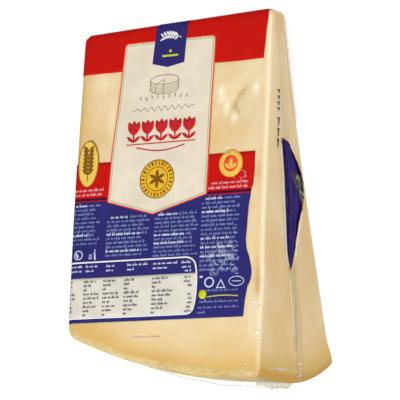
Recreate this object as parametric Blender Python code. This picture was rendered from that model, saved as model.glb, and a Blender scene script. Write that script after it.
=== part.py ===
"""A wedge of hard cheese, cut from half a wheel and sealed in a clear film bag.

The wedge lies on its back cut face, with its printed cut face up. The wheel's axis runs along X at
the floor, beyond the tip, so the tip points to +Y and the rind heel to -Y. The cut made at half the
wheel's height faces +X, and the wheel's flat side faces -X. Metres and radians throughout.

A point of the wedge has three coordinates: depth, from the mid-height cut towards the flat side;
radius, from the wheel's axis; and turn, round that axis from the back cut face.
"""

import math

import bmesh
import bpy
from mathutils import Vector

# The wheel, and the cuts that make the wedge.
WHEEL_RADIUS = 0.2155  # at the crown of the rind
HALF_HEIGHT = 0.100  # from the mid-height cut to the wheel's flat side
WEDGE_ANGLE = math.radians(25.0)
TIP_RADIUS = 0.0404  # where the tip is cut off, at the mid-height cut
TIP_SLANT = 0.0041  # the tip's cut runs this much further out at the flat side
CROWN_DEPTH = 0.0082  # the rind's crown lies this deep
RIND_DROP = 0.0219  # the rind's radius falls by this from the crown to the flat side
FLAT_SIDE_SWELL = 0.0008  # the flat side bulges by this at its middle

# The film bag, drawn tight over the cheese.
EDGE_ROUND = 0.004  # its radius over the cheese's edges
ROUND_SEGMENTS = 3
SHARP_ANGLE = math.radians(50.0)  # an edge turned by more than this is rounded
CUT_PULL = 0.0019  # the film draws the mid-height cut in by this along its back edge
PULL_START, PULL_END = 0.043, 0.200  # radii between which it does so
PULL_SKEW = 0.7  # below 1, the pull is strongest nearer the tip
PULL_REACH = 0.020  # how deep the pull and the flare fade out, from the mid-height cut
PULL_TURN = 0.6 * WEDGE_ANGLE  # how far round from the back they fade out
HEEL_FLARE = 0.0017  # the rind stands out by this at the back corner of the mid-height cut
DIMPLES = (  # depth, radius, width and depth of each hollow in the printed cut face
    (0.013, 0.082, 0.011, 0.0013),
    (0.019, 0.066, 0.009, 0.0008),
    (0.006, 0.171, 0.009, 0.0010),
    (0.060, 0.201, 0.014, 0.0006),
)

# The bag's seams. The lap seam runs down the middle of the mid-height cut. The end seals cross the
# heel and the tip, and an ear of loose film stands at the heel's corner.
LAP_WIDTH, LAP_RISE = 0.0085, 0.0007
SEAL_THICKNESS = 0.0010
SEAL_MARGIN = 0.009  # from each end seal's ends to the wedge's sides
HEEL_SEAL_RISE, TIP_SEAL_RISE = 0.0034, 0.0016
HEEL_SEAL_TURN = math.radians(10.0)
HEEL_SEAL_SWAY = 0.0006  # how far the fin wanders off its line
EAR_RISE, EAR_THICKNESS = 0.0030, 0.0013
EAR_START, EAR_END = math.radians(11.0), math.radians(23.6)
EAR_FADE = math.radians(3.0)  # over which it rises from its lower end
EAR_SINK = 0.0004  # it lies this far under the mid-height cut
SEAM_ROOT = 0.0020  # how deep the seams' solids reach into the wedge
PLEAT_PITCH = 0.011  # the length of one wave along the end seals' edges
EAR_PITCH = 0.018  # and along the ear's

# Cells of the wedge's block: across its depth, along its radius and round its turn.
WEDGE_CELLS = (19, 30, 4)

CHEESE_COLOUR = (0.80, 0.61, 0.34, 1.0)


def clear_scene():
    for thing in list(bpy.data.objects):
        bpy.data.objects.remove(thing)


def smooth_step(low, high, value):
    """0 below low, 1 above high, and a soft rise between them."""
    share = min(1.0, max(0.0, (value - low) / (high - low)))
    return share * share * (3.0 - 2.0 * share)


def rind_radius(depth):
    """The heel's radius: a barrel's bulge, with its crown near the mid-height cut."""
    fall = (depth - CROWN_DEPTH) / (HALF_HEIGHT - CROWN_DEPTH)
    return WHEEL_RADIUS - RIND_DROP * fall * fall


def tip_radius(depth):
    return TIP_RADIUS + TIP_SLANT * depth / HALF_HEIGHT


def wheel_point(depth, radius, turn):
    """The place in the part's frame of a point given in the wheel's coordinates."""
    return Vector((HALF_HEIGHT / 2 - depth, -radius * math.cos(turn), radius * math.sin(turn)))


def unit_block(cells):
    """A unit cube cut into cells along each of its three axes, for a shape to be bent from."""
    block = bmesh.new()
    bmesh.ops.create_cube(block, size=1.0)
    bmesh.ops.translate(block, verts=block.verts, vec=(0.5, 0.5, 0.5))
    for axis, count in enumerate(cells):
        along = [e for e in block.edges if abs(e.verts[0].co[axis] - e.verts[1].co[axis]) > 0.5]
        if count > 1:
            bmesh.ops.subdivide_edges(block, edges=along, cuts=count - 1, use_grid_fill=True)
    return block


def bend(block, place):
    """Moves each vertex of a unit block from its three shares to its place."""
    for vertex in block.verts:
        vertex.co = place(*vertex.co)
    bmesh.ops.recalc_face_normals(block, faces=block.faces)


def add_object(name, block):
    mesh = bpy.data.meshes.new(name)
    block.to_mesh(mesh)
    block.free()
    thing = bpy.data.objects.new(name, mesh)
    bpy.context.scene.collection.objects.link(thing)
    return thing


def wedge_place(u, v, w):
    depth = u * HALF_HEIGHT
    radius = tip_radius(depth) + v * (rind_radius(depth) - tip_radius(depth))
    swell = FLAT_SIDE_SWELL * smooth_step(0.8, 1.0, u) * math.sin(math.pi * v)
    return wheel_point(depth + swell, radius, w * WEDGE_ANGLE)


def shape_back_edge(vertex):
    """Pulls the mid-height cut in along its back edge, and lets the heel's corner stand out."""
    radius = math.hypot(vertex.co.y, vertex.co.z)
    turn = math.atan2(vertex.co.z, -vertex.co.y)
    along = (radius - PULL_START) / (PULL_END - PULL_START)
    cut = HALF_HEIGHT / 2
    near_cut = smooth_step(cut - PULL_REACH, cut - EDGE_ROUND, vertex.co.x)
    near_back = 1.0 - smooth_step(0.0, PULL_TURN, turn)
    near_heel = smooth_step(PULL_END, WHEEL_RADIUS - EDGE_ROUND, radius)
    if 0.0 < along < 1.0:
        swing = math.sin(math.pi * along**PULL_SKEW)
        vertex.co.x -= CUT_PULL * swing * near_cut * near_back
    flare = HEEL_FLARE * near_heel * near_cut * near_back
    vertex.co.yz *= 1.0 + flare / radius


def press_dimples(vertex):
    """Presses the shallow hollows into the printed cut face, along its normal."""
    into_face = Vector((0.0, -math.sin(WEDGE_ANGLE), -math.cos(WEDGE_ANGLE)))
    below_face = vertex.co.dot(into_face)
    if below_face < EDGE_ROUND:
        for depth, radius, width, hollow in DIMPLES:
            centre = wheel_point(depth, radius, WEDGE_ANGLE)
            away = (vertex.co - centre).length / width
            vertex.co += into_face * hollow * math.exp(-away * away)


def make_wedge():
    block = unit_block(WEDGE_CELLS)
    bend(block, wedge_place)
    sharp = [e for e in block.edges if e.calc_face_angle(0.0) > SHARP_ANGLE]
    bmesh.ops.bevel(
        block,
        geom=sharp,
        offset=EDGE_ROUND,
        offset_type="OFFSET",
        affect="EDGES",
        segments=ROUND_SEGMENTS,
        profile=0.5,
        material=-1,
    )
    for vertex in block.verts:
        shape_back_edge(vertex)
        press_dimples(vertex)
    bmesh.ops.recalc_face_normals(block, faces=block.faces)
    return add_object("sealed_cheese_wedge", block)


def pleat(along, pitch, phase):
    """A wave between 0 and 1 along a loose seal's edge."""
    return 0.5 + 0.5 * math.sin(2.0 * math.pi * along / pitch + phase)


def lap_seam_place(u, v, w):
    """The lap seam: a low strip of even width down the mid-height cut."""
    depth = -LAP_RISE + u * (LAP_RISE + SEAM_ROOT)
    low, high = TIP_RADIUS + 2 * EDGE_ROUND, WHEEL_RADIUS - 2 * EDGE_ROUND
    radius = low + v * (high - low)
    return wheel_point(depth, radius, WEDGE_ANGLE / 2 + (w - 0.5) * LAP_WIDTH / radius)


def heel_seal_place(u, v, w):
    """The heel's end seal: a thin wavy fin that crosses the rind."""
    depth = SEAL_MARGIN + u * (HALF_HEIGHT - 2 * SEAL_MARGIN)
    rise = HEEL_SEAL_RISE * (0.75 + 0.25 * pleat(depth, PLEAT_PITCH, 0.0))
    radius = rind_radius(depth) - SEAM_ROOT + v * (SEAM_ROOT + rise)
    sway = HEEL_SEAL_SWAY * math.sin(2.0 * math.pi * depth / (3 * PLEAT_PITCH))
    across = sway + (w - 0.5) * SEAL_THICKNESS
    return wheel_point(depth, radius, HEEL_SEAL_TURN + across / radius)


def tip_seal_place(u, v, w):
    """The tip's end seal, folded short across the cut-off tip."""
    depth = SEAL_MARGIN + u * (HALF_HEIGHT - 2 * SEAL_MARGIN)
    rise = TIP_SEAL_RISE * (0.6 + 0.4 * pleat(depth, PLEAT_PITCH, 1.0))
    radius = tip_radius(depth) + SEAM_ROOT - v * (SEAM_ROOT + rise)
    return wheel_point(depth, radius, WEDGE_ANGLE / 2 + (w - 0.5) * SEAL_THICKNESS / radius)


def ear_place(u, v, w):
    """The ear: loose film that carries the mid-height cut on past the heel's rounded edge."""
    turn = EAR_START + w * (EAR_END - EAR_START)
    depth = EAR_SINK + u * EAR_THICKNESS
    crest = EAR_RISE * (0.75 + 0.25 * pleat(turn * WHEEL_RADIUS, EAR_PITCH, 2.0))
    outer = rind_radius(depth) + crest * smooth_step(EAR_START, EAR_START + EAR_FADE, turn)
    inner = rind_radius(depth) - 2 * EDGE_ROUND
    return wheel_point(depth, inner + v * (outer - inner), turn)


def make_seams():
    shapes = (
        ("lap_seam", (1, 16, 1), lap_seam_place),
        ("heel_seal", (28, 1, 1), heel_seal_place),
        ("tip_seal", (20, 1, 1), tip_seal_place),
        ("corner_ear", (1, 2, 18), ear_place),
    )
    seams = bpy.data.collections.new("seams")
    bpy.context.scene.collection.children.link(seams)
    for name, cells, place in shapes:
        block = unit_block(cells)
        bend(block, place)
        seam = add_object(name, block)
        bpy.context.scene.collection.objects.unlink(seam)
        seams.objects.link(seam)
    return seams


def fuse(body, extras):
    """Joins a collection's shapes to the body by one Boolean union, and removes them."""
    union = body.modifiers.new("fuse_seams", "BOOLEAN")
    union.operation = "UNION"
    union.solver = "EXACT"
    union.operand_type = "COLLECTION"
    union.collection = extras
    bpy.context.view_layer.update()
    evaluated = body.evaluated_get(bpy.context.evaluated_depsgraph_get())
    fused = bpy.data.meshes.new_from_object(evaluated)
    body.modifiers.clear()
    body.data = fused
    for extra in list(extras.objects):
        bpy.data.objects.remove(extra)
    bpy.data.collections.remove(extras)


def stand_on_origin(thing):
    """Moves the mesh so that the middle of its base lies on the origin."""
    points = [vertex.co for vertex in thing.data.vertices]
    low = Vector(min(point[axis] for point in points) for axis in range(3))
    high = Vector(max(point[axis] for point in points) for axis in range(3))
    middle = (low + high) / 2
    for vertex in thing.data.vertices:
        vertex.co -= Vector((middle.x, middle.y, low.z))


def film_over_cheese():
    material = bpy.data.materials.new("film_over_cheese")
    material.use_nodes = True
    shader = material.node_tree.nodes["Principled BSDF"]
    shader.inputs["Base Color"].default_value = CHEESE_COLOUR
    shader.inputs["Roughness"].default_value = 0.25
    shader.inputs["Metallic"].default_value = 0.0
    return material


clear_scene()
wedge = make_wedge()
fuse(wedge, make_seams())
stand_on_origin(wedge)
wedge.data.materials.clear()
wedge.data.materials.append(film_over_cheese())
wedge.data.shade_smooth()
wedge.data.set_sharp_from_angle(angle=math.radians(35.0))
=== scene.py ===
import math
import random

import bmesh
import bpy
from mathutils import Matrix, Quaternion, Vector, noise
from mathutils.bvhtree import BVHTree


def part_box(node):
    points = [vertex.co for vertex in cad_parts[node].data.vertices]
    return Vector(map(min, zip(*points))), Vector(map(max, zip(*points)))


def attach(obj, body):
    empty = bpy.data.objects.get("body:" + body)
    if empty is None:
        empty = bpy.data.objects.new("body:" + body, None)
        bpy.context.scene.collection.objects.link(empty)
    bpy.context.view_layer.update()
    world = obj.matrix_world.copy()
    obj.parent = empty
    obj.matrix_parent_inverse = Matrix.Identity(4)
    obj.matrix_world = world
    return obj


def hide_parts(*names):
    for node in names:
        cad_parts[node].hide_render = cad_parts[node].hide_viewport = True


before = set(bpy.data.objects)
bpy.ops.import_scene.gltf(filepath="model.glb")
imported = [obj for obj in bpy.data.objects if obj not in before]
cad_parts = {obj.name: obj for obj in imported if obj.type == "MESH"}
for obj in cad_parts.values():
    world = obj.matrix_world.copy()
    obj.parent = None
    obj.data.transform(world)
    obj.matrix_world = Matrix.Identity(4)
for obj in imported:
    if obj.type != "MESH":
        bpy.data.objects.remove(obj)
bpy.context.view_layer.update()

# THE CHEESE
# A wedge sawn from half a wheel of hard, grainy cheese. It has four cut faces and two of rind: the
# heel, and the wheel's flat side. It lies on its back cut face. A point of it is given by its depth
# from the mid-height cut, its radius from the wheel's axis and its turn from the back cut face.
NODE = "sealed_cheese_wedge"
MM = 0.001
LAP_RISE = 0.0007  # the film's lap seam is what stands out furthest on the mid-height cut
AXIS_BEYOND_TIP = 0.0380
CUT_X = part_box(NODE)[1].x - LAP_RISE
AXIS_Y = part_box(NODE)[1].y + AXIS_BEYOND_TIP
WHEEL_RADIUS = 0.2155
HALF_HEIGHT = 0.100
WEDGE_ANGLE = math.radians(25.0)
TIP_RADIUS, TIP_SLANT = 0.0404, 0.0041
CROWN_DEPTH, RIND_DROP = 0.0082, 0.0219
FLAT_SIDE_SWELL = 0.0008
EDGE_ROUND = 0.004
# The tight film draws in the mid-height cut towards its back edge: how far, from which radius to which
# and how skewed between them, and how deep and how far round it reaches.
CUT_PULL, PULL_START, PULL_END, PULL_SKEW = 0.0013, 0.043, 0.200, 0.7
PULL_REACH, PULL_TURN = 0.020, 0.6 * WEDGE_ANGLE
# At the heel the mid-height cut's end stands a little out: towards the heel, most half way round the
# first turn, and at the back corner to the side, up to the second turn.
HEEL_FLARE, FLARE_TURN = 0.0018, math.radians(16.0)
CORNER_FLARE, CORNER_TURN = 0.0015, math.radians(9.0)
FACE_OUT = Vector((0.0, math.sin(WEDGE_ANGLE), math.cos(WEDGE_ANGLE)))  # the printed face's normal
# Hollows in the printed face: depth, radius, width and how deep, in millimetres.
HOLLOWS = (
    (13, 82, 11, 1.3), (19, 66, 9, 0.8), (6, 171, 9, 1.0), (60, 201, 14, 0.6),
)
# Dents pressed along a line: depth and radius of both ends, width and how deep, in millimetres.
DENTS = (
    (11.0, 74.0, 18.4, 85.0, 2.6, 0.7), (18.4, 85.0, 16.0, 93.0, 2.4, 0.8),
    (24.5, 78.0, 25.5, 90.0, 1.8, 0.25), (3.6, 163.0, 2.6, 181.0, 2.6, 0.55),
    (7.0, 118.0, 5.5, 131.0, 2.8, 0.45), (40.0, 203.0, 72.0, 200.0, 3.2, 0.25),
)
# Spots in the printed face's colour, darker above 0 and paler below 0: depth, radius, half widths across
# and along the face, in millimetres, and how strong. The darker ones along the dent beside the banner are
# painted shade and the rest moist spots; the small pale ones in the dent are painted glints and the broad
# pale ones are where air lies under the film.
TONES = (
    (5.0, 120.0, 1.7, 6.0, 0.60), (4.2, 163.5, 1.8, 4.0, 0.55), (3.7, 170.5, 1.9, 4.0, 0.85),
    (3.0, 175.8, 1.4, 3.0, 0.50), (7.6, 137.0, 1.1, 2.2, 0.35), (14.0, 79.5, 1.5, 2.4, 0.50),
    (16.0, 82.0, 1.4, 2.4, 0.50), (18.6, 88.0, 1.2, 2.6, 0.50), (12.0, 100.0, 8.0, 9.0, 0.12),
    (17.9, 93.6, 1.2, 2.6, -1.30), (22.2, 87.8, 1.3, 2.8, -1.30), (25.0, 80.0, 1.9, 2.4, -1.10),
    (24.9, 84.2, 1.5, 1.6, -1.20), (7.8, 79.7, 1.3, 3.0, -1.20), (19.5, 78.0, 3.0, 3.0, -0.25),
    (92.0, 82.0, 6.0, 9.0, 0.02), (86.0, 71.0, 7.0, 3.0, -0.40), (81.5, 90.0, 2.0, 9.0, -0.40),
    (89.0, 99.0, 5.0, 6.0, 0.30), (60.0, 195.5, 6.0, 1.4, -0.30), (93.0, 196.0, 9.0, 7.0, 0.35),
)
CUT_PAINTED_SHADE = 0.20  # painted shade: the mid-height cut, turned from the light, is darker and more golden all over, but less so near the tip and the heel
CUT_TONE_RISE, CUT_TONE_FALL = (0.03, 0.12), (0.17, 0.21)
# A highlight is painted along the rounded edge between the printed face and the mid-height cut: how pale it
# is, where on the rounding, from 0 at the printed face to 1 at the cut, and how wide.
EDGE_PAINTED_HIGHLIGHT, EDGE_TURN, EDGE_SPREAD = 0.80, 0.46, 0.21
EDGE_FADE, EDGE_FADE_FROM = 0.55, (0.185, 0.212)  # by how much it fades out, and between which radii
CELLS = (66, 108, 42)  # of the block: across the depth, along the radius and round the turn
RIM_CELLS = 5  # of these, on each side of a rounded edge
AT_CUT_FADE = (0.001, 0.006)  # depths between which the mid-height cut's own looks end
RIND_AT_CUT = 0.003  # the dry, golden layer under the rind is this much thicker at the mid-height cut
LEAST_AT_CUT = 0.004  # and the paste there counts as at least this far from the rind
LIP_FADE = (0.0025, 0.0065)  # between these distances from the heel, its golden lip ends
CHEESE_INSET = 0.0006  # the cheese lies this far inside the film's outer face


def smooth_step(low, high, value):
    share = min(1.0, max(0.0, (value - low) / (high - low)))
    return share * share * (3.0 - 2.0 * share)


def rind_radius(depth):
    fall = (depth - CROWN_DEPTH) / (HALF_HEIGHT - CROWN_DEPTH)
    return WHEEL_RADIUS - RIND_DROP * fall * fall


def tip_radius(depth):
    return TIP_RADIUS + TIP_SLANT * depth / HALF_HEIGHT


def wheel_point(depth, radius, turn):
    return Vector((CUT_X - depth, AXIS_Y - radius * math.cos(turn), radius * math.sin(turn)))


def round_off(depth, along, arc, inset=0.0):
    """The place, and the way out, of a point on the sharp-edged wedge once its edges are rounded.

    along is the distance from the tip's cut and arc the way round from the back cut face.
    """
    sizes = [HALF_HEIGHT, rind_radius(depth) - tip_radius(depth)]
    sizes.append(WEDGE_ANGLE * (tip_radius(depth) + along))
    spot = Vector((depth, along, arc))
    core = Vector(min(max(c, EDGE_ROUND), s - EDGE_ROUND) for c, s in zip(spot, sizes))
    out = (spot - core).normalized()
    rounded = core + out * (EDGE_ROUND - inset)
    radius = tip_radius(depth) + rounded.y
    turn = rounded.z / radius
    place = wheel_point(rounded.x, radius, turn)
    outward = Vector((-out.x, 0.0, 0.0))
    outward.y = -out.y * math.cos(turn) + out.z * math.sin(turn)
    outward.z = out.y * math.sin(turn) + out.z * math.cos(turn)
    return place, outward


def settle(place):
    """Moves a point of the rounded wedge to where the film's pull and the cheese's hollows put it."""
    radius = math.hypot(place.y - AXIS_Y, place.z)
    turn = math.atan2(place.z, AXIS_Y - place.y)
    depth = CUT_X - place.x
    side = smooth_step(0.8, 1.0, depth / HALF_HEIGHT)
    share = (radius - tip_radius(depth)) / (rind_radius(depth) - tip_radius(depth))
    place.x -= FLAT_SIDE_SWELL * side * math.sin(math.pi * min(1.0, max(0.0, share)))
    near_cut = smooth_step(PULL_REACH, EDGE_ROUND, depth) if depth < PULL_REACH else 0.0
    near_back = 1.0 - smooth_step(0.0, PULL_TURN, turn)
    along = (radius - PULL_START) / (PULL_END - PULL_START)
    if 0.0 < along < 1.0:
        place.x -= CUT_PULL * math.sin(math.pi * along**PULL_SKEW) * near_cut * near_back
    near_heel = smooth_step(PULL_END, WHEEL_RADIUS - EDGE_ROUND, radius) * near_cut
    flare = HEEL_FLARE * math.sin(math.pi * min(1.0, max(0.0, turn / FLARE_TURN)))
    stretch = 1.0 + flare * near_heel / radius
    place.x += CORNER_FLARE * near_heel * (1.0 - smooth_step(0.0, CORNER_TURN, turn))
    place.y = AXIS_Y + (place.y - AXIS_Y) * stretch
    place.z *= stretch
    below_face = radius * math.sin(WEDGE_ANGLE - turn)
    if below_face < EDGE_ROUND:
        press = 0.0
        for hollow_depth, hollow_radius, width, deep in HOLLOWS:
            away = math.hypot(depth / MM - hollow_depth, radius / MM - hollow_radius) / width
            press += deep * math.exp(-away * away)
        for x1, y1, x2, y2, width, deep in DENTS:
            run = Vector((x2 - x1, y2 - y1))
            spot = Vector((depth / MM - x1, radius / MM - y1))
            share = min(1.0, max(0.0, spot.dot(run) / run.length_squared))
            away = (spot - run * share).length / width
            press += deep * math.exp(-away * away)
        place -= FACE_OUT * press * MM
    return place


def rim_length(share, count, length):
    """Even cells along a length, but near both ends even steps round the edge's rounding."""
    rim = RIM_CELLS / count
    edge = min(share, 1.0 - share)
    if edge < rim:
        reach = EDGE_ROUND * (1.0 - math.tan(math.pi / 4 * (1.0 - edge / rim)))
    else:
        reach = EDGE_ROUND + (edge - rim) / (1.0 - 2.0 * rim) * (length - 2.0 * EDGE_ROUND)
    return reach if share < 0.5 else length - reach


def wedge_mesh(name, inset):
    """The whole wedge as one closed mesh, all its faces lying this far in."""
    block = bmesh.new()
    bmesh.ops.create_cube(block, size=1.0)
    bmesh.ops.translate(block, verts=block.verts, vec=(0.5, 0.5, 0.5))
    for axis, count in enumerate(CELLS):
        along = [e for e in block.edges if abs(e.verts[0].co[axis] - e.verts[1].co[axis]) > 0.5]
        bmesh.ops.subdivide_edges(block, edges=along, cuts=count - 1, use_grid_fill=True)
    rind, tone, lip = (block.verts.layers.float.new(n) for n in ("rind_distance", "tone", "golden_lip"))
    for vertex in block.verts:
        depth = rim_length(vertex.co.x, CELLS[0], HALF_HEIGHT)
        length = rind_radius(depth) - tip_radius(depth)
        along = rim_length(vertex.co.y, CELLS[1], length)
        arc = rim_length(vertex.co.z, CELLS[2], WEDGE_ANGLE * (tip_radius(depth) + along))
        at_cut = 1.0 - smooth_step(*AT_CUT_FADE, depth)
        radius = tip_radius(depth) + along
        vertex[lip] = at_cut * (1.0 - smooth_step(*LIP_FADE, length - along))
        # Painted shade over the mid-height cut, fading out near the tip and the heel.
        vertex[tone] = CUT_PAINTED_SHADE * at_cut * (1.0 - smooth_step(*CUT_TONE_FALL, radius))
        vertex[tone] *= smooth_step(*CUT_TONE_RISE, radius)
        # A painted highlight along the rounded edge to the mid-height cut, weaker near the heel.
        near_face = WEDGE_ANGLE * radius - arc
        turned = math.atan2(max(0.0, EDGE_ROUND - depth), max(0.0, EDGE_ROUND - near_face)) * 2.0 / math.pi
        pale = EDGE_PAINTED_HIGHLIGHT * (1.0 - EDGE_FADE * smooth_step(*EDGE_FADE_FROM, radius))
        vertex[tone] -= pale * math.exp(-(((turned - EDGE_TURN) / EDGE_SPREAD) ** 2))
        # Moist spots, painted shade along the dent and painted glints in it, on the printed face.
        if near_face < EDGE_ROUND / 2:
            for spot_depth, spot_radius, wide, tall, strong in TONES:
                across, up = (depth / MM - spot_depth) / wide, (radius / MM - spot_radius) / tall
                vertex[tone] += strong * math.exp(-across * across - up * up)
        from_heel = max(length - along - RIND_AT_CUT * at_cut, LEAST_AT_CUT * at_cut)
        from_side = 2.0 * (HALF_HEIGHT - depth) + 1e-5
        vertex[rind] = from_heel * from_side / (from_heel + from_side) / MM
        vertex.co = settle(round_off(depth, along, arc, inset)[0])
    mesh = bpy.data.meshes.new(name)
    block.to_mesh(mesh)
    block.free()
    mesh.shade_smooth()
    return mesh


def add_piece(name, mesh, material):
    """Shows a finished mesh as a piece that rides on the part."""
    piece = bpy.data.objects.new(name, mesh)
    bpy.context.scene.collection.objects.link(piece)
    piece.data.materials.append(material)
    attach(piece, "root")
    return piece


def blank_material(name):
    """A new node material, its node tree, and its Principled shader."""
    material = bpy.data.materials.new(name)
    material.use_nodes = True
    return material, material.node_tree, material.node_tree.nodes["Principled BSDF"]


def linear(red, green, blue):
    """A colour as a shader takes it, from its screen values out of 255."""
    shares = (value / 255.0 for value in (red, green, blue))
    return tuple(s / 12.92 if s <= 0.04045 else ((s + 0.055) / 1.055) ** 2.4 for s in shares) + (1.0,)


def tune(node, **values):
    """Sets a node's sockets, each by its name with _ for a space."""
    for name, value in values.items():
        node.inputs[name.replace("_", " ")].default_value = value


def feed(tree, socket, value):
    """Links a socket to another, or sets it where the value is a plain one."""
    if isinstance(value, bpy.types.NodeSocket):
        tree.links.new(value, socket)
    else:
        socket.default_value = value


def add_noise(tree, scale, detail=3.0, roughness=0.5):
    """A noise pattern in the piece's own coordinates, scale cells to the metre."""
    spots = tree.nodes.new("ShaderNodeTexCoord")
    pattern = tree.nodes.new("ShaderNodeTexNoise")
    tune(pattern, Scale=scale, Detail=detail, Roughness=roughness)
    feed(tree, pattern.inputs["Vector"], spots.outputs["Object"])
    return pattern.outputs["Fac"]


def add_ramp(tree, source, stops):
    """Turns a number between 0 and 1 into colours at these stops."""
    ramp = tree.nodes.new("ShaderNodeValToRGB")
    elements = ramp.color_ramp.elements
    for index, (position, colour) in enumerate(stops):
        element = elements[index] if index < 2 else elements.new(position)
        element.position = position
        element.color = colour
    feed(tree, ramp.inputs["Fac"], source)
    return ramp.outputs["Color"]


def add_mix(tree, factor, first, second, blend_type="MIX"):
    """Mixes two colours, each a socket or a plain colour, by a socket."""
    mix = tree.nodes.new("ShaderNodeMix")
    mix.data_type = "RGBA"
    mix.blend_type = blend_type
    for name, value in (("Factor", factor), ("A", first), ("B", second)):
        feed(tree, mix.inputs[name], value)
    return mix.outputs["Result"]


def add_math(tree, operation, first, second, third=0.0):
    """A sum on sockets or plain numbers."""
    node = tree.nodes.new("ShaderNodeMath")
    node.operation = operation
    for index, value in enumerate((first, second, third)):
        feed(tree, node.inputs[index], value)
    return node.outputs["Value"]


def add_attribute(tree, name):
    attribute = tree.nodes.new("ShaderNodeAttribute")
    attribute.attribute_name = name
    return attribute.outputs["Fac"]


def add_bump(tree, source, height, strength, shader):
    bump = tree.nodes.new("ShaderNodeBump")
    tune(bump, Distance=height, Strength=strength)
    feed(tree, bump.inputs["Height"], source)
    feed(tree, shader.inputs["Normal"], bump.outputs["Normal"])


WHITE_STOP, BLACK_STOP = (1.0,) * 4, (0.0, 0.0, 0.0, 1.0)


def cheese_material():
    """Pale gold, mottled and fine-grained inside, deeper gold towards the rind, straw-coloured rind."""
    material, tree, shader = blank_material("grainy_hard_cheese")
    mottle = add_noise(tree, 34.0, 2.0)
    paste = add_ramp(tree, mottle, ((0.30, linear(236, 217, 178)), (0.70, linear(229, 195, 137))))
    specks = add_noise(tree, 150.0, 4.0, 0.6)
    speck_shade = add_ramp(tree, specks, ((0.58, BLACK_STOP), (0.74, (0.26,) * 4)))
    paste = add_mix(tree, speck_shade, paste, linear(248, 238, 214))
    grain = add_noise(tree, 420.0, 3.0, 0.6)
    grain_shade = add_ramp(tree, grain, ((0.30, (0.94,) * 3 + (1.0,)), (0.70, WHITE_STOP)))
    paste = add_mix(tree, 1.0, paste, grain_shade, "MULTIPLY")
    streaks = add_noise(tree, 260.0, 3.0, 0.6)
    uneven_tone = add_math(tree, "MULTIPLY_ADD", streaks, 1.4, 0.3)
    # Darker and more golden by the tone: moist spots, and painted shade on the mid-height cut and along the
    # dent.
    tone = add_math(tree, "MULTIPLY", add_attribute(tree, "tone"), uneven_tone)
    paste = add_mix(tree, tone, paste, linear(201, 161, 99))
    # The layer under the rind and the rind itself, by the distance from it, with an uneven border.
    uneven = add_noise(tree, 60.0, 3.0)
    wander = add_math(tree, "MULTIPLY_ADD", uneven, 5.0, add_attribute(tree, "rind_distance"))
    reach = tree.nodes.new("ShaderNodeMapRange")
    tune(reach, From_Min=2.5, From_Max=22.5)
    feed(tree, reach.inputs["Value"], wander)
    reach = reach.outputs["Result"]
    stops = ((0.0, WHITE_STOP), (0.22, (0.95,) * 4), (0.50, (0.45,) * 4), (0.95, BLACK_STOP))
    under_rind = add_ramp(tree, reach, stops)
    on_rind = add_ramp(tree, reach, ((0.12, WHITE_STOP), (0.24, BLACK_STOP)))
    patches = add_noise(tree, 45.0, 3.0, 0.6)
    rind_stops = ((0.32, linear(201, 172, 112)), (0.52, linear(212, 187, 127)), (0.70, linear(221, 201, 147)))
    straw = add_ramp(tree, patches, rind_stops)
    pores = add_noise(tree, 600.0, 4.0, 0.7)
    linen = add_ramp(tree, pores, ((0.38, (0.80, 0.78, 0.72, 1.0)), (0.56, WHITE_STOP)))
    straw = add_mix(tree, 1.0, straw, linen, "MULTIPLY")
    skin = add_mix(tree, on_rind, linear(214, 174, 96), straw)
    colour = add_mix(tree, under_rind, paste, skin)
    lip = add_math(tree, "MULTIPLY", add_attribute(tree, "golden_lip"), 0.85)
    colour = add_mix(tree, lip, colour, linear(196, 146, 46))
    # Paler where the tone is below 0: a painted highlight along the edge to the mid-height cut, painted
    # glints in the dent, and spots where air lies under the film.
    paler = add_math(tree, "MULTIPLY", tone, -1.0)
    colour = add_mix(tree, paler, colour, linear(252, 238, 206))
    feed(tree, shader.inputs["Base Color"], colour)
    tune(shader, Roughness=0.55, Specular_IOR_Level=0.25)
    tune(shader, Subsurface_Weight=0.12, Subsurface_Radius=(0.004, 0.0025, 0.0012), Subsurface_Scale=1.0)
    add_bump(tree, grain, 0.0003, 0.35, shader)
    return material


cheese = add_piece("cheese_wedge", wedge_mesh("cheese_wedge", CHEESE_INSET), cheese_material())
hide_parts(NODE)

# THE FILM
# A tube of clear, stiff plastic film, drawn so tight over the cheese by the vacuum that it shows
# every hollow. It is under a tenth of a millimetre thick, glossy, and a little milky when seen at a slant.
CLEAR = (0.985, 0.985, 0.975, 1.0)
HAZE = (226, 226, 214)
GREY_HAZE = (214, 212, 190)


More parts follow.
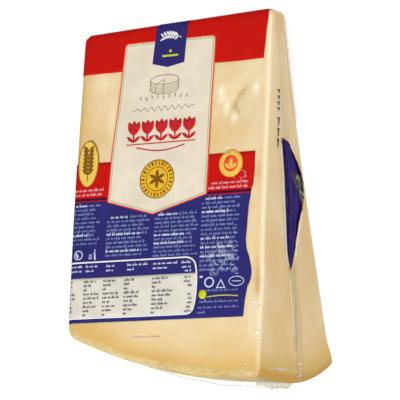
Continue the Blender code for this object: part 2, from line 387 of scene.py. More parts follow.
def film_material(name, haze, haze_colour, roughness, waves, ripple, gloss=0.011, tint=CLEAR):
    """Clear film: see-through, with a mirror's share that grows at a glancing angle, and haze.

    Only its outer side shines or clouds, so light passes back out through it.
    """
    material, tree, shader = blank_material(name)
    tune(shader, Base_Color=linear(*haze_colour), Roughness=0.5, Specular_IOR_Level=0.0)
    names = ("BsdfTransparent", "BsdfGlossy", "LayerWeight", "NewGeometry")
    clear, mirror, facing, side = (tree.nodes.new("ShaderNode" + kind) for kind in names)
    tune(clear, Color=tint)
    tune(mirror, Roughness=roughness)
    tune(facing, Blend=0.5)
    outer = add_math(tree, "SUBTRACT", 1.0, side.outputs["Backfacing"])
    glance = add_math(tree, "POWER", facing.outputs["Facing"], 5.0)
    surface = clear.outputs["BSDF"]
    for gain, base, layer in ((0.04, haze, shader), (0.10, gloss, mirror)):
        share = add_math(tree, "MULTIPLY_ADD", glance, gain, base)
        coat = tree.nodes.new("ShaderNodeMixShader")
        feed(tree, coat.inputs["Fac"], add_math(tree, "MULTIPLY", share, outer))
        feed(tree, coat.inputs[1], surface)
        feed(tree, coat.inputs[2], layer.outputs["BSDF"])
        surface = coat.outputs["Shader"]
    feed(tree, tree.nodes["Material Output"].inputs["Surface"], surface)
    add_bump(tree, add_noise(tree, waves, 2.0), ripple, 0.6, mirror)
    return material


film_mesh = wedge_mesh("film_bag", 0.0)
film_bag = add_piece(
    "film_bag", film_mesh, film_material("clear_tight_film", 0.0, HAZE, 0.13, 120.0, 0.0006)
)
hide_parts(NODE)
film_shape = bmesh.new()
film_shape.from_mesh(film_mesh)
film_tree = BVHTree.FromBMesh(film_shape)
film_shape.free()

# THE BAG'S SEAMS
# The tube is closed by a lap seam down the mid-height cut, and welded shut at the heel and the tip.
# Each weld leaves a thin wavy fin, and at the heel's corner an ear of loose, crumpled film.
LAP_WIDTH, LAP_START, LAP_END = 0.0085, 0.003, 0.0015
LAP_LIFT = 0.00035
SEAL_MARGIN = 0.009
HEEL_SEAL_TURN, HEEL_SEAL_RISE, HEEL_SEAL_SPREAD = math.radians(10.0), 0.0034, 0.0020
HEEL_SWAY, HEEL_SWAY_PITCH, HEEL_EDGE_PITCH = 0.0006, 0.033, 0.019
HEEL_PLEAT, HEEL_PLEAT_PITCH = 0.00012, 0.0055
TIP_SEAL_RISE, TIP_EDGE_PITCH, TIP_PLEAT, TIP_PLEAT_PITCH = 0.0016, 0.011, 0.0003, 0.006
EAR_START, EAR_END, EAR_RISE, EAR_DEPTH = math.radians(11.0), math.radians(24.0), 0.0030, 0.0034
EAR_FOLD, EAR_FINE_FOLD, EAR_RAGGED, EAR_PITCH, EAR_ROOT = 0.0012, 0.0005, 0.0005, 0.018, 0.0008
FIN_THICKNESS, LAYER_THICKNESS = 0.0003, 0.0002
SEAM_ROOT = 0.0012


def sheet(cells, place):
    """A grid over the unit square, each corner moved to its place."""
    flat = bmesh.new()
    bmesh.ops.create_grid(flat, x_segments=cells[0], y_segments=cells[1], size=0.5)
    for vertex in flat.verts:
        vertex.co = place(vertex.co.x + 0.5, vertex.co.y + 0.5)
    return flat


def mesh_of(name, made, smooth=True):
    mesh = bpy.data.meshes.new(name)
    made.to_mesh(mesh)
    made.free()
    if smooth:
        mesh.shade_smooth()
    return mesh


def thicken(piece, thickness, offset):
    solid = piece.modifiers.new("thickness", "SOLIDIFY")
    solid.thickness = thickness
    solid.offset = offset
    return piece


def on_film(place, outward, lift=0.0):
    """Where a line straight in from outside meets the film, moved out by lift."""
    spot, normal, _face, _reach = film_tree.ray_cast(place + outward * 0.006, -outward)
    if spot is None:
        spot, normal, _face, _reach = film_tree.find_nearest(place)
    return spot + normal * lift


def wave(along, pitch, shift=0.0):
    return math.sin(2.0 * math.pi * along / pitch + shift)


def lap_middle(radius):
    """The lap seam's middle line wanders off the face's middle by this, towards the printed face."""
    return 0.0012 - 0.0036 * smooth_step(0.150, 0.195, radius)


def lap_place(across, along):
    radius = TIP_RADIUS + LAP_START + along * (WHEEL_RADIUS - TIP_RADIUS - LAP_START - LAP_END)
    offset = lap_middle(radius) + (across - 0.5) * LAP_WIDTH
    arc = WEDGE_ANGLE / 2 * radius + offset
    place, outward = round_off(0.0, radius - tip_radius(0.0), arc)
    curl = 0.5 + 0.5 * math.cos(2.0 * math.pi * across)
    rough = noise.noise(Vector((across * 3.0, along * 40.0, 3.0)))
    lift = LAP_LIFT * (0.55 + 0.5 * curl + 0.5 * rough * curl)
    return on_film(settle(place), outward, lift)


def heel_fin_place(along, out):
    depth = SEAL_MARGIN + along * (HALF_HEIGHT - 2.0 * SEAL_MARGIN)
    sway = HEEL_SWAY * wave(depth, HEEL_SWAY_PITCH)
    rise = HEEL_SEAL_RISE * (0.92 + 0.08 * wave(depth, HEEL_EDGE_PITCH))
    rise += HEEL_SEAL_SPREAD * smooth_step(0.010, 0.070, depth)
    ripple = HEEL_PLEAT * out * wave(depth, HEEL_PLEAT_PITCH)
    radius = rind_radius(depth) - SEAM_ROOT + out * (SEAM_ROOT + rise)
    return wheel_point(depth, radius, HEEL_SEAL_TURN + (sway + ripple) / radius)


def tip_fin_place(along, out):
    depth = SEAL_MARGIN + along * (HALF_HEIGHT - 2.0 * SEAL_MARGIN)
    rise = TIP_SEAL_RISE * (0.8 + 0.2 * wave(depth, TIP_EDGE_PITCH, 1.0))
    ripple = TIP_PLEAT * out * wave(depth, TIP_PLEAT_PITCH)
    radius = tip_radius(depth) + SEAM_ROOT - out * (SEAM_ROOT + rise)
    return wheel_point(depth, radius, WEDGE_ANGLE / 2 + ripple / radius)


def ear_place(along, out):
    turn = EAR_START + along * (EAR_END - EAR_START)
    fold = noise.noise(Vector((along * 16.0, out * 1.2, 7.0)))
    fine = noise.noise(Vector((along * 48.0, out * 5.0, 2.0)))
    depth = EAR_DEPTH + (EAR_FOLD * fold + EAR_FINE_FOLD * fine) * out
    swell = 0.5 + 0.5 * wave(turn * WHEEL_RADIUS, EAR_PITCH, 2.0)
    ragged = EAR_RAGGED * noise.noise(Vector((along * 40.0, 1.0, 2.0)))
    rise = (EAR_RISE * (0.82 + 0.25 * swell) + ragged) * smooth_step(0.0, 0.30, along)
    root = rind_radius(depth) - EAR_ROOT
    return wheel_point(depth, root + out * (rind_radius(depth) + rise - root), turn)


# The cut edge of a fin and of the lap seam, and the fin's weld, are narrow strips of their surfaces.
def fin_edge_place(along, out):
    return heel_fin_place(along, 0.92 + 0.08 * out)


def fin_root_place(along, out):
    return heel_fin_place(along, 0.17 + 0.10 * out)


def lap_edge_place(across, along):
    return lap_place(0.965 + 0.035 * across, along) + Vector((0.00008, 0.0, 0.0))


seam_film = film_material("welded_film", 0.05, (240, 242, 244), 0.16, 400.0, 0.0008)
LAPPED = (0.98, 0.972, 0.965, 1.0)
lap_film = film_material("lapped_film", 0.03, (226, 214, 206), 0.16, 400.0, 0.0008, 0.011, LAPPED)
root_film = film_material("weld_root_film", 0.60, (150, 138, 104), 0.2, 900.0, 0.0002)
LAYERED = (0.87, 0.86, 0.80, 1.0)  # what passes through each side of a crumpled stack of film
ear_film = film_material("loose_crumpled_film", 0.36, GREY_HAZE, 0.18, 420.0, 0.0014, 0.05, LAYERED)
edge_film = film_material("cut_film_edge", 0.55, (168, 164, 150), 0.2, 900.0, 0.0002)
lap_edge_film = film_material("lap_edge_film", 0.12, (212, 204, 184), 0.2, 900.0, 0.0002)
lap_seam = add_piece("lap_seam", mesh_of("lap_seam", sheet((14, 150), lap_place)), lap_film)
thicken(lap_seam, LAYER_THICKNESS, -1.0)
for name, cells, place, material in (
    ("heel_seal_fin", (160, 6), heel_fin_place, seam_film),
    ("tip_seal_fin", (120, 4), tip_fin_place, seam_film),
    ("corner_ear", (130, 16), ear_place, ear_film),
    ("heel_seal_edge", (160, 1), fin_edge_place, edge_film),
    ("heel_seal_root", (160, 1), fin_root_place, root_film),
    ("lap_seam_edge", (1, 150), lap_edge_place, lap_edge_film),
):
    thicken(add_piece(name, mesh_of(name, sheet(cells, place)), material), FIN_THICKNESS, 0.0)

# THE PRINT'S FIELDS OF COLOUR
# The film's inner side is printed with flat fields of ink: a red band at the tip, a red band over a
# tall dark-blue panel towards the heel. They run round the flat side and over the back cut face.
# Flat shapes are drawn in millimetres: across is the depth, down is the radius from the wheel's axis.
FRONT, SIDE, BACK, CUT = "front", "side", "back", "cut"
FIELD_INK, CARD_INK, LINE_INK, TEXT_INK = 0.00034, 0.00027, 0.00020, 0.00013  # depths under the film
INK_THICKNESS = 0.00003
WARM_CHEESE = (226, 190, 140)  # what shows through a thin ink
INK_CELL = 2.0
RED_END = 66.0
LOWER_RED_TOP, BLUE_TOP, BLUE_END = 110.5, 128.4, 187.8


def face_spot(face, across, down):
    """A point of a flat drawing on one of the wedge's faces, and the way out there.

    Above the tip's edge a drawing folds over on to the tip's cut.
    """
    depth = across * MM
    along = down * MM - tip_radius(depth)
    fold = max(0.0, -along)
    along = max(0.0, along)
    full_arc = WEDGE_ANGLE * (tip_radius(depth) + along)
    if face == SIDE:
        return round_off(HALF_HEIGHT, max(0.0, down * MM - tip_radius(HALF_HEIGHT)), across * full_arc)
    if face == CUT:
        return round_off(0.0, down * MM - tip_radius(0.0), full_arc_at(0.0, down) - across * MM)
    return round_off(depth, along, full_arc - fold if face == FRONT else fold)


def full_arc_at(depth, down):
    return WEDGE_ANGLE * (tip_radius(depth) + max(0.0, down * MM - tip_radius(depth)))


def cut_along(flat, axis, pitch):
    """Cuts a flat drawing along even lines, so that it can follow the film."""
    reach = [vertex.co[axis] for vertex in flat.verts]
    normal = Vector((0.0, 0.0, 0.0))
    normal[axis] = 1.0
    for step in range(math.floor(min(reach) / pitch) + 1, math.ceil(max(reach) / pitch)):
        geometry = flat.verts[:] + flat.edges[:] + flat.faces[:]
        spot = normal * step * pitch
        bmesh.ops.bisect_plane(flat, geom=geometry, dist=1e-5, plane_co=spot, plane_no=normal)


def lay(name, flat, material, ink_depth=TEXT_INK, face=FRONT, cell=INK_CELL):
    """Lays a flat drawing on a face, a little under the film, as one piece of ink.

    A height in the drawing, in millimetres, is kept as relief.
    """
    flat.normal_update()
    bmesh.ops.reverse_faces(flat, faces=[f for f in flat.faces if f.normal.z < 0.0])
    cut_along(flat, 0, cell if face != SIDE else 0.03)
    cut_along(flat, 1, cell)
    for vertex in flat.verts:
        place, outward = face_spot(face, vertex.co.x, vertex.co.y)
        vertex.co = on_film(settle(place), outward, vertex.co.z * MM - ink_depth)
    if face in (BACK, CUT):
        bmesh.ops.reverse_faces(flat, faces=flat.faces)
    piece = add_piece(name, mesh_of(name, flat), material)
    return thicken(piece, INK_THICKNESS, -1.0)


def ink(name, colour, mottle=0.05, show_through=0.0):
    """Printing ink: one colour, a little uneven where the film touches the cheese or stands off."""
    material, tree, shader = blank_material(name)
    patches = add_noise(tree, 90.0, 4.0, 0.6)
    plain = linear(*colour)[:3]
    light = tuple(min(1.0, c * (1.0 + mottle)) for c in plain) + (1.0,)
    dark = tuple(c * (1.0 - mottle) for c in plain) + (1.0,)
    under = tuple(d * (1.0 - show_through) + w * show_through for d, w in zip(dark, linear(*WARM_CHEESE)))
    feed(tree, shader.inputs["Base Color"], add_ramp(tree, patches, ((0.30, under), (0.70, light))))
    tune(shader, Roughness=0.6, Specular_IOR_Level=0.0)
    add_bump(tree, patches, 0.0002, 0.3, shader)
    return material


RED_INK = ink("red_ink", (194, 20, 14))
BLUE_INK = ink("dark_blue_ink", (45, 42, 109))

# The print's edge beside the mid-height cut: how deep it runs at each radius, in millimetres.
UPPER_EDGE = ((33, 1.4), (44, 2.1), (55, 3.2), (67, 4.1))
LOWER_EDGE = ((110, 6.5), (118, 6.7), (125, 7.0), (130, 8.0), (137.6, 8.9), (144, 9.2), (152, 9.6))
LOWER_EDGE += ((156, 9.2), (160.6, 7.7), (164, 6.9), (167.1, 6.5), (169.9, 6.8), (175.4, 8.6), (181.8, 9.2))
LOWER_EDGE += ((188, 9.5),)


def edge_at(points, down, soft=True):
    """The edge's depth at a radius, read between its points: in soft bends, or straight."""
    for (low, first), (high, last) in zip(points, points[1:]):
        if down <= high:
            break
    share = min(1.0, max(0.0, (down - low) / (high - low)))
    return first + (last - first) * (smooth_step(0.0, 1.0, share) if soft else share)


def field(face, top, end, edge):
    """A field of ink on one face, from the print's edge to the face's far edge.

    With no top given it folds over the tip's edge, as far as the middle of the tip's cut.
    """
    full = HALF_HEIGHT / MM
    rows = max(2, round((end - (top or 33.0)) / INK_CELL))
    if face == SIDE:
        top = top or tip_radius(HALF_HEIGHT) / MM
        return sheet((30, rows), lambda u, v: Vector((u, top + v * (end - top), 0.0)))

    def place(u, v):
        radius = tip_radius(u * HALF_HEIGHT) / MM
        start = top or radius * (1.0 - WEDGE_ANGLE / 2)
        down = start + v * (end - start)
        near = edge_at(edge, down)
        return Vector((near + u * (full - near), down, 0.0))

    return sheet((48, rows), place)


BACK_EDGE = ((33, 4.0), (110, 6.0), (150, 7.5), (188, 7.0))
for name, top, end, edge, colour in (
    ("red_band_at_tip", None, RED_END, UPPER_EDGE, RED_INK),
    ("red_band", LOWER_RED_TOP, BLUE_TOP, LOWER_EDGE, RED_INK),
    ("blue_panel", BLUE_TOP, BLUE_END, LOWER_EDGE, BLUE_INK),
):
    lay(name + "_front", field(FRONT, top, end, edge), colour, FIELD_INK, cell=400.0)
    lay(name + "_side", field(SIDE, top, end, edge), colour, FIELD_INK, SIDE, 400.0)
    lay(name + "_back", field(BACK, top, end, BACK_EDGE), colour, FIELD_INK, BACK, 400.0)

# THE BANNER
# A cream pennant printed over the bands, with a blunt point towards the heel. A thin edge of white,
# orange-red, cream and green runs all round it.
BANNER = (
    (57.4, 137.6), (30.0, 129.6), (29.5, 84.0), (28.7, 54.0), (29.2, 52.6), (30.6, 52.0),
    (74.6, 52.0), (76.0, 52.6), (76.6, 54.0), (78.3, 80.0), (80.7, 106.0), (81.6, 130.4),
)
BANNER_LINES = (("white", 0.5), ("orange", 0.6), ("cream", 0.45), ("green", 0.4))
CREAM = ink("cream_ink", (225, 214, 195), 0.07, 0.05)
WHITE = ink("white_ink", (238, 236, 237), 0.02)
ORANGE = ink("orange_red_ink", (226, 70, 42))
GREEN = ink("soft_green_ink", (150, 176, 120))


def polygon(points):
    """A flat drawing of one filled outline."""
    flat = bmesh.new()
    flat.faces.new([flat.verts.new((x, y, 0.0)) for x, y in points])
    return flat


banner = polygon(BANNER)
core = banner.faces[:][0]
for index, (_line, width) in enumerate(BANNER_LINES):
    ring = bmesh.ops.inset_region(
        banner, faces=[core], thickness=width, use_boundary=True, use_even_offset=True
    )
    for face in ring["faces"]:
        face.material_index = index + 1
banner_piece = lay("cream_banner", banner, CREAM, CARD_INK)
for colour in (WHITE, ORANGE, CREAM, GREEN):
    banner_piece.data.materials.append(colour)

# THE SHAPES ON THE BANNER
# Flat inks on the banner: a blue tab with a sprig, a drawing of a wheel of cheese in thin olive lines,
# a flourish, a red row of tulips and a round gold stamp.
OLIVE = ink("olive_ink", (164, 148, 108))
GOLD = ink("gold_ink", (226, 176, 48), 0.10)
BROWN = ink("brown_ink", (132, 88, 26))
YELLOW_GREEN = ink("yellow_green_ink", (196, 200, 40))
TITLE_RED = ink("title_red_ink", (196, 38, 44))


def placed(across, down, width, height, lean=0.0, rise=0.0):
    """The transform that puts a unit shape here, at this size and lean, and above others by its rise."""
    size = Matrix.Diagonal((width, height, 1.0, 1.0))
    return Matrix.Translation((across, down, rise)) @ Matrix.Rotation(lean, 4, "Z") @ size


def add_bar(flat, across, down, width, height, lean=0.0, rise=0.0):
    spot = placed(across, down, width, height, lean, rise)
    bmesh.ops.create_grid(flat, x_segments=1, y_segments=1, size=0.5, matrix=spot)


def add_disc(flat, across, down, width, height, line=0.0, sides=44, start=0.0):
    """A filled ellipse, or its outline where a line's width is given. Few sides make a polygon."""
    spot = placed(across, down, width, height) @ Matrix.Rotation(start, 4, "Z")
    made = bmesh.ops.create_circle(flat, cap_ends=True, segments=sides, radius=0.5, matrix=spot)
    if line:
        face = made["verts"][0].link_faces[0]
        bmesh.ops.inset_region(flat, faces=[face], thickness=line, use_boundary=True, use_even_offset=True)
        bmesh.ops.delete(flat, geom=[face], context="FACES")


def add_leaf(flat, across, down, length, width, lean, rise=0.0):
    """A pointed leaf that grows from here: up the drawing, or turned by its lean."""
    made = bmesh.ops.create_circle(flat, cap_ends=True, segments=12, radius=0.5)
    for vertex in made["verts"]:
        share = vertex.co.y + 0.5
        half = 0.5 * math.sin(math.pi * share) ** 0.8
        vertex.co.x = math.copysign(half, vertex.co.x) if half > 1e-4 else 0.0
        vertex.co.y = -share
    bmesh.ops.transform(flat, verts=made["verts"], matrix=placed(across, down, width, length, lean, rise))


def add_ribbon(flat, path, width, steps):
    """A line of even width along a path, which gives its points for shares from 0 to 1."""
    made = bmesh.ops.create_grid(flat, x_segments=steps, y_segments=1, size=0.5)
    for vertex in made["verts"]:
        share, side = vertex.co.x + 0.5, vertex.co.y
        spot, ahead = Vector(path(share - 0.002)), Vector(path(share + 0.002))
        run = (ahead - spot).normalized()
        middle = (spot + ahead) / 2
        vertex.co = (middle.x - run.y * side * width, middle.y + run.x * side * width, 0.0)


def drawn(*shapes):
    """A flat drawing of several shapes, each given as what adds it and its measures."""
    flat = bmesh.new()
    for add_shape, *measures in shapes:
        add_shape(flat, *measures)
    return flat


TAB = ((43.2, 34.5), (59.2, 34.5), (61.4, 63.7), (53.3, 65.9), (44.7, 64.1))
lay("blue_tab", polygon(TAB), BLUE_INK, LINE_INK)

lay("tab_rules", drawn((add_bar, 52.2, 60.2, 8.4, 1.0), (add_disc, 52.2, 57.9, 1.5, 1.5)), YELLOW_GREEN)


def sprig_path(share):
    return 57.2 - 10.5 * share, 51.6 - 1.6 * math.sin(math.pi * share)


sprig = drawn((add_ribbon, sprig_path, 0.35, 12))
for step in range(6):
    stem = sprig_path(0.14 + 0.14 * step)
    add_leaf(sprig, *stem, 3.0, 1.1, 0.7)
    add_leaf(sprig, *stem, 2.6, 1.0, 2.2)
lay("tab_sprig", sprig, WHITE)

WHEEL_ACROSS, WHEEL_DOWN, WHEEL_WIDTH, WHEEL_SLANT, WHEEL_TALL = 54.5, 72.0, 15.0, 5.0, 4.6
wheel = drawn((add_disc, WHEEL_ACROSS, WHEEL_DOWN, WHEEL_WIDTH, WHEEL_SLANT, 0.3))


def wheel_front(lower):
    """The near half of one of the drawn wheel's rims."""
    return lambda t: (
        WHEEL_ACROSS + WHEEL_WIDTH / 2 * math.cos(math.pi * t),
        WHEEL_DOWN + lower + WHEEL_SLANT / 2 * math.sin(math.pi * t),
    )


add_ribbon(wheel, wheel_front(WHEEL_TALL), 0.32, 30)
for rise in range(1, 5):
    add_ribbon(wheel, wheel_front(WHEEL_TALL * rise / 5), 0.14, 26)
for side in (-1, 1):
    across = WHEEL_ACROSS + side * (WHEEL_WIDTH - 0.3) / 2
    add_bar(wheel, across, WHEEL_DOWN + WHEEL_TALL / 2, 0.3, WHEEL_TALL)
hub = Vector((WHEEL_ACROSS, WHEEL_DOWN))
for share in (0.29, 0.48):
    rim = Vector(wheel_front(0.0)(share))
    add_ribbon(wheel, lambda t, rim=rim: hub.lerp(rim, t), 0.28, 4)
    add_bar(wheel, rim.x, rim.y + WHEEL_TALL / 2, 0.28, WHEEL_TALL)
for step in range(9):
    add_leaf(wheel, 66.0 - 2.85 * step, 81.6 + 0.5 * math.sin(step * 1.9), 2.4, 0.55, 0.5 - 0.12 * step)
lay("drawn_cheese_wheel", wheel, OLIVE)


def flourish_path(share):
    swing = 0.45 + 0.55 * math.sin(math.pi * share)
    return 70.6 - 32.0 * share, 86.1 + 1.15 * swing * math.sin(9 * 2 * math.pi * share)


lay("thin_flourish", drawn((add_ribbon, flourish_path, 0.26, 150)), OLIVE)


def add_tulip(flat, across, foot, height):
    """A cup of three broad petals on a stem with two low leaves."""
    for layer, lean in enumerate((-0.40, 0.40, 0.0)):
        base = foot - 0.32 * height
        add_leaf(flat, across, base, 0.66 * height, 0.30 * height, lean, 0.02 + 0.02 * layer)
    add_bar(flat, across, foot - 0.18 * height, 0.07 * height, 0.36 * height)
    for lean in (-0.85, 0.85):
        add_leaf(flat, across, foot, 0.42 * height, 0.15 * height, lean)


frieze = bmesh.new()
for step in range(5):
    add_tulip(frieze, 40.6 + 7.2 * step, 102.0, 11.0)
add_ribbon(frieze, lambda t: (73.0 - 36.0 * t, 103.0), 0.5, 12)
add_ribbon(frieze, lambda t: (67.5 - 25.0 * t, 104.6 + 2.2 * math.sin(math.pi * t)), 0.6, 24)
lay("red_tulip_frieze", frieze, TITLE_RED)

STAMP, STAMP_SIZE = (56.0, 120.6), (17.9, 18.9)
lay("gold_stamp", drawn((add_disc, *STAMP, *STAMP_SIZE)), GOLD, LINE_INK)
stamp_lines = drawn((add_disc, *STAMP, *STAMP_SIZE, 0.42), (add_disc, *STAMP, 11.4, 12.0, 0.36))
for step in range(26):
    turn = 2 * math.pi * step / 26
    spot = (STAMP[0] + 7.3 * math.cos(turn), STAMP[1] + 7.7 * math.sin(turn))
    add_bar(stamp_lines, *spot, 1.7, 0.55 if step % 3 else 0.95, turn)
for step in range(6):
    add_leaf(stamp_lines, *STAMP, 4.6, 1.7, math.pi / 3 * step)
lay("stamp_lines", stamp_lines, BROWN)

# THE BADGES BESIDE THE BANNER
# Two badges are printed over the red band: an upright yellow one with an ear of grain at the flat side,
# and a round one with an orange heart and three leaves near the mid-height cut.
YELLOW = ink("yellow_ink", (232, 196, 88), 0.06)
HEART = ink("orange_heart_ink", (238, 78, 52), 0.08)
PALE_ORANGE = ink("pale_orange_ink", (242, 170, 74), 0.06)
PINK_WHITE = ink("pink_white_ink", (236, 160, 166), 0.10)
BADGE, BADGE_SIZE = (92.3, 110.7), (10.6, 23.0)
lay("upright_badge", drawn((add_disc, *BADGE, *BADGE_SIZE)), YELLOW, LINE_INK)
badge_lines = drawn((add_disc, *BADGE, *BADGE_SIZE, 0.4))
add_ribbon(badge_lines, lambda t: (BADGE[0], BADGE[1] + 8.6 - 13.0 * t), 0.4, 6)
for step in range(7):
    down = BADGE[1] + 5.4 - 1.9 * step
    add_leaf(badge_lines, BADGE[0], down, 4.0, 1.5, 0.75)
    add_leaf(badge_lines, BADGE[0], down, 4.0, 1.5, -0.75)
lay("badge_lines", badge_lines, BROWN)

ROUND_BADGE = (18.5, 115.7)
for name, size, ink_depth, colour in (
    ("round_badge_rim", (11.8, 13.1), LINE_INK, PALE_ORANGE),
    ("round_badge_ring", (10.6, 11.8), LINE_INK - 0.00003, YELLOW),
    ("round_badge_heart", (7.2, 8.0), LINE_INK - 0.00006, HEART),
):
    lay(name, drawn((add_disc, *ROUND_BADGE, *size)), colour, ink_depth)
LEAF_FOOT = (ROUND_BADGE[0], ROUND_BADGE[1] + 2.6)
petals = ((5.4, 2.2, 0.0), (4.2, 1.5, -0.85), (4.2, 1.5, 0.85))
lay("round_badge_leaves", drawn(*((add_leaf, *LEAF_FOOT, *petal) for petal in petals)), YELLOW)

# THE SMALL PRINT
# Lines of small print run in columns on the blue panel, and a table of pale card stands in them, with
# a white frame. Words are thin bars crossed by short strokes, and marks are plain rings and polygons.
PALE_WORDS = ink("pale_words_ink", (116, 126, 183), 0.18)
BRIGHT_WORDS = ink("bright_words_ink", (199, 203, 234), 0.10)
TABLE_CARD = ink("table_card_ink", (214, 211, 201), 0.09, 0.10)
GREY_WORDS = ink("grey_words_ink", (106, 102, 112), 0.15)
DARK_LINE = ink("dark_line_ink", (72, 14, 44))
LETTERS = random.Random(7)
LETTER_HEIGHT = 1.05
STROKE_WIDTH, STROKE_PITCH, STROKE_RISE = 0.34, 0.80, 0.02


def add_words(flat, left, right, down, height=LETTER_HEIGHT, longest=4.0, unit=1.0):
    """A line of words from its left end to about its right end, each a thin bar crossed by short strokes.

    unit is a millimetre's length across the drawing.
    """
    across = left / unit
    while across - right / unit > 0.7:
        length = min(LETTERS.uniform(1.1, longest), across - right / unit)
        add_bar(flat, (across - length / 2) * unit, down, length * unit, height * LETTERS.uniform(0.35, 0.65))
        for stroke in range(round(length / STROKE_PITCH)):
            middle = across - (stroke + LETTERS.uniform(0.35, 0.65)) * STROKE_PITCH
            tall = height * LETTERS.choice((1.0, 1.1, 1.2, 1.7))
            top = down - (tall - height) / 2
            add_bar(flat, middle * unit, top, STROKE_WIDTH * unit, tall, 0.0, STROKE_RISE)
        across -= length + 0.60


def add_column(pale, bright, left, right, first, last, lines, bold, unit=1.0):
    """A column of small print, with the lines in bold brighter for most of their length."""
    for line in range(lines):
        down = first + (last - first) * line / (lines - 1)
        end = right + (LETTERS.uniform(0.0, 4.5) if line % 4 else LETTERS.uniform(0.0, 1.5)) * unit
        if line in bold:
            middle = left - (left - end) * (0.55 if line == 0 else 0.8)
            add_words(bright, left - (1.8 * unit if line == 0 else 0.0), middle, down, unit=unit)
            add_words(pale, middle - 0.3 * unit, end, down, unit=unit)
        else:
            add_words(pale, left, end, down, unit=unit)


pale, bright = bmesh.new(), bmesh.new()
# Each column's left and right end, first and last line, how many lines, and which are bold.
for column in (
    (99.4, 83.8, 131.4, 149.8, 10, (0, 7)),
    (81.0, 58.6, 138.0, 156.2, 10, (0, 4, 8)),
    (56.2, 33.4, 138.0, 157.5, 11, (0, 5, 7)),
    (32.2, 11.6, 131.9, 165.4, 17, (0, 3, 9, 11, 13)),
):
    add_column(pale, bright, *column)
for line in ((31.6, 12.6, 180.4), (32.2, 11.9, 183.0), (32.4, 28.0, 185.3), (29.0, 13.0, 175.2)):
    add_words(pale, *line, 0.8)
lay("pale_words", pale, PALE_WORDS, cell=3.0)

for line in (
    (99.6, 92.2, 160.9), (99.6, 92.6, 163.1), (90.7, 84.9, 161.0), (90.7, 86.6, 163.2), (80.2, 74.4, 161.2),
    (80.2, 76.4, 163.3), (69.2, 57.8, 161.2), (69.2, 65.6, 163.4), (55.8, 43.5, 161.3), (55.8, 48.6, 163.4),
    (41.5, 35.6, 161.4), (41.0, 36.0, 163.5), (39.4, 36.2, 165.4),
):
    add_words(bright, *line, 0.85, 2.6)
lay("bright_words", bright, BRIGHT_WORDS, cell=3.0)

for name, right, left, top in (("right", 7.9, 29.4, 129.0), ("left", 81.6, 100.0, 128.2)):
    middle, width = (left + right) / 2, left - right
    for line, down, height, colour in (("dark", top, 1.1, DARK_LINE), ("red", top + 1.0, 0.5, RED_INK)):
        lay(line + "_line_" + name, drawn((add_bar, middle, down, width, height)), colour, CARD_INK)

band_lines = ((99.4, 83.6, 123.9), (99.4, 84.4, 126.1), (27.8, 9.0, 124.8), (29.4, 8.4, 127.0))
lay("band_words", drawn(*((add_words, *line, 1.0, 3.2) for line in band_lines)), PINK_WHITE, cell=3.0)

TABLE_TOP, TABLE_HEAD, TABLE_END = 158.9, 166.5, 185.6
FAR_SIDE = HALF_HEIGHT / MM
TABLE_END_EDGE = ((38.6, 158.9), (36.2, 159.7), (34.6, 161.4), (33.7, 164.6), (33.3, 170.0), (33.4, 176.0))
TABLE_END_EDGE += ((34.0, 181.2), (34.9, 184.0), (36.2, 185.2), (38.4, 185.6))
card = [point for point in TABLE_END_EDGE if point[1] > TABLE_HEAD]
card = [(33.5, TABLE_HEAD)] + card + [(FAR_SIDE, TABLE_END), (FAR_SIDE, TABLE_HEAD)]
lay("table_card", polygon(card), TABLE_CARD, CARD_INK)
FRAME_PATH = ((FAR_SIDE, TABLE_TOP),) + TABLE_END_EDGE + ((FAR_SIDE, TABLE_END),)


def frame_path(share):
    """A point of the table's frame, from its upper to its lower end at the wedge's far side."""
    runs = [(Vector(b) - Vector(a)).length for a, b in zip(FRAME_PATH, FRAME_PATH[1:])]
    reach = min(1.0, max(0.0, share)) * sum(runs)
    for run, low, high in zip(runs, FRAME_PATH, FRAME_PATH[1:]):
        if reach <= run:
            return Vector(low).lerp(Vector(high), reach / run)
        reach -= run
    return Vector(FRAME_PATH[-1])


lay("table_frame", drawn((add_ribbon, frame_path, 0.7, 160)), WHITE, LINE_INK)

table_words = bmesh.new()
ROWS = [168.3 + 2.0 * row for row in range(9)]
ROW_SHARES = (0.75, 0.45, 0.22, 1.0, 0.95, 0.6, 0.8, 0.55, 0.2)
LAST_COLUMN = (4.2, 4.4, 2.4, 0.0, 2.2, 1.8, 2.2, 2.6, 3.6)
for left, width in ((99.6, 4.6), (91.3, 8.6), (81.3, 9.6), (70.3, 9.0), (55.9, 11.4)):
    for down, share in zip(ROWS, ROW_SHARES):
        add_words(table_words, left, left - width * share * LETTERS.uniform(0.85, 1.0), down, 0.8, 3.2)
for down, width in zip(ROWS, LAST_COLUMN):
    if width:
        add_words(table_words, 35.4 + width, 35.4, down, 0.8, 3.2)
lay("table_words", table_words, GREY_WORDS, cell=3.0)

plain_marks = drawn(
    (add_disc, 94.8, 155.2, 4.6, 4.6, 0.5),
    (add_leaf, 94.8, 156.8, 3.2, 1.3, 0.4),
    (add_disc, 88.6, 156.2, 1.9, 3.2, 0.35, 4, math.pi / 4),
    (add_disc, 86.4, 153.2, 0.9, 0.9, 0.0, 10),
    (add_bar, 86.4, 155.9, 0.9, 3.8, 0.12),
    (add_disc, 26.9, 171.3, 5.0, 5.0, 0.75),
    (add_disc, 21.1, 172.8, 5.6, 5.8, 0.5, 3, math.pi / 3),
    (add_disc, 13.6, 171.2, 7.4, 4.7, 0.38),
    (add_bar, 13.6, 171.2, 4.4, 0.4),
    (add_bar, 31.0, 168.6, 1.6, 1.0),
)
lay("plain_marks", plain_marks, BRIGHT_WORDS)
green_marks = drawn((add_disc, 30.0, 176.8, 3.9, 4.3))
add_ribbon(green_marks, lambda t: (27.8 - 15.4 * t, 178.1 - 0.5 * math.sin(math.pi * t)), 0.5, 10)
lay("yellow_green_marks", green_marks, YELLOW_GREEN)

